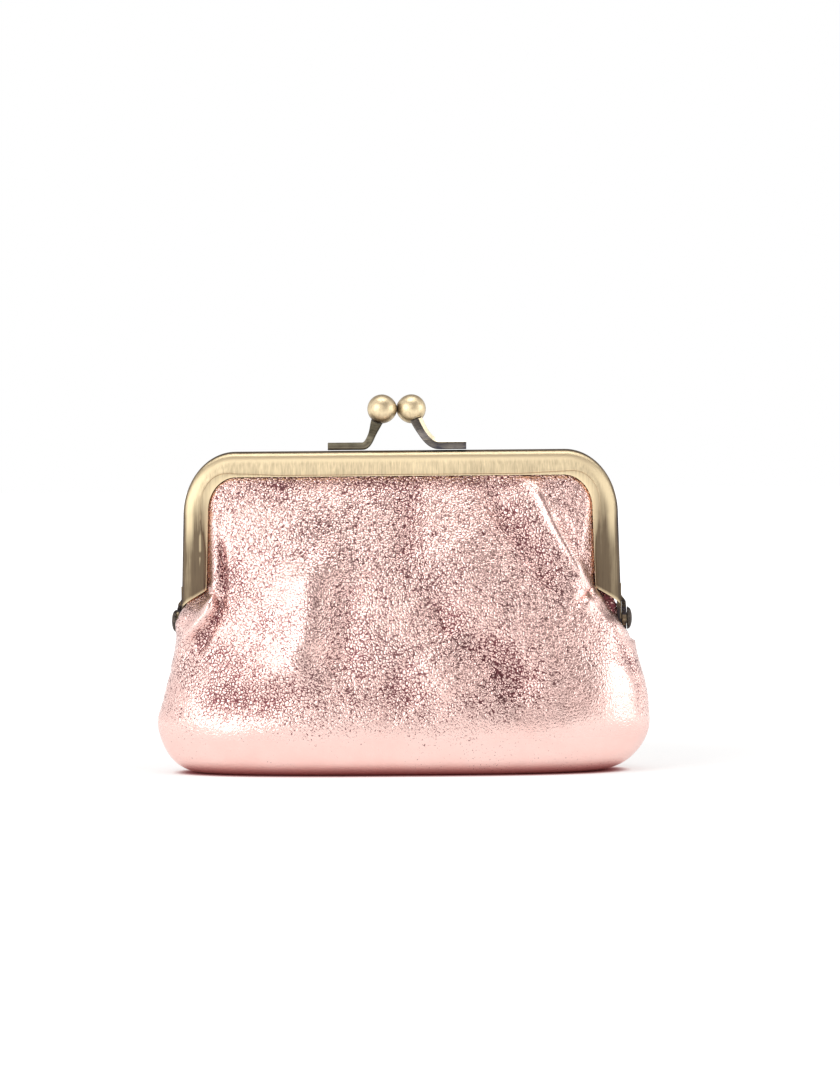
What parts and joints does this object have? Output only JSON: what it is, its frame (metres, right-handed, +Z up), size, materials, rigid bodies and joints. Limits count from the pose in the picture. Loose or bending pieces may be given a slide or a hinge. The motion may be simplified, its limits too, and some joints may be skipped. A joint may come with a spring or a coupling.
{
  "type": "kiss lock purse",
  "caption": "Small lined leather purse in a hinged metal frame, closed by a kiss lock of two crossing balls.",
  "frame": {"origin": "on the surface that the purse stands on, under the middle of the pouch", "axes": "+X to the right along the hinge axis, +Y to the back, +Z up; the front faces -Y"},
  "size_m": [0.1168, 0.041, 0.0901],
  "materials": {
    "brass": "antique brass plating, brushed across the top band and along the legs",
    "leather": "crackled rose metallic foil on thin leather",
    "lining": "plain woven cloth",
    "paper_cord": "twisted paper cord"
  },
  "bodies": {
    "pouch": {"front_panel_lower": "leather", "back_panel_lower": "leather", "front_lining_lower": "lining", "back_lining_lower": "lining", "left_hinge_rivet": "brass", "right_hinge_rivet": "brass"},
    "front_half": {"front_frame": "brass", "front_panel_upper": "leather", "front_lining_upper": "lining", "front_packing_cord": "paper_cord", "front_clasp_arm": "brass", "front_clasp_ball": "brass"},
    "back_half": {"back_frame": "brass", "back_panel_upper": "leather", "back_lining_upper": "lining", "back_packing_cord": "paper_cord", "back_clasp_arm": "brass", "back_clasp_ball": "brass"}
  },
  "joints": [
    {"name": "front_half_opening", "type": "hinge", "parent": "pouch", "child": "front_half", "pos_m": [0, 0, 0.0363], "axis": [1, 0, 0], "range_deg": [0, 45], "deforming": ["front_panel_lower", "front_lining_lower"]},
    {"name": "back_half_opening", "type": "hinge", "parent": "pouch", "child": "back_half", "pos_m": [0, 0, 0.0363], "axis": [1, 0, 0], "range_deg": [-45, 0], "deforming": ["back_panel_lower", "back_lining_lower"]}
  ],
  "couplings": [
    {"joint": "back_half_opening", "follows": "front_half_opening", "ratio": -1}
  ]
}
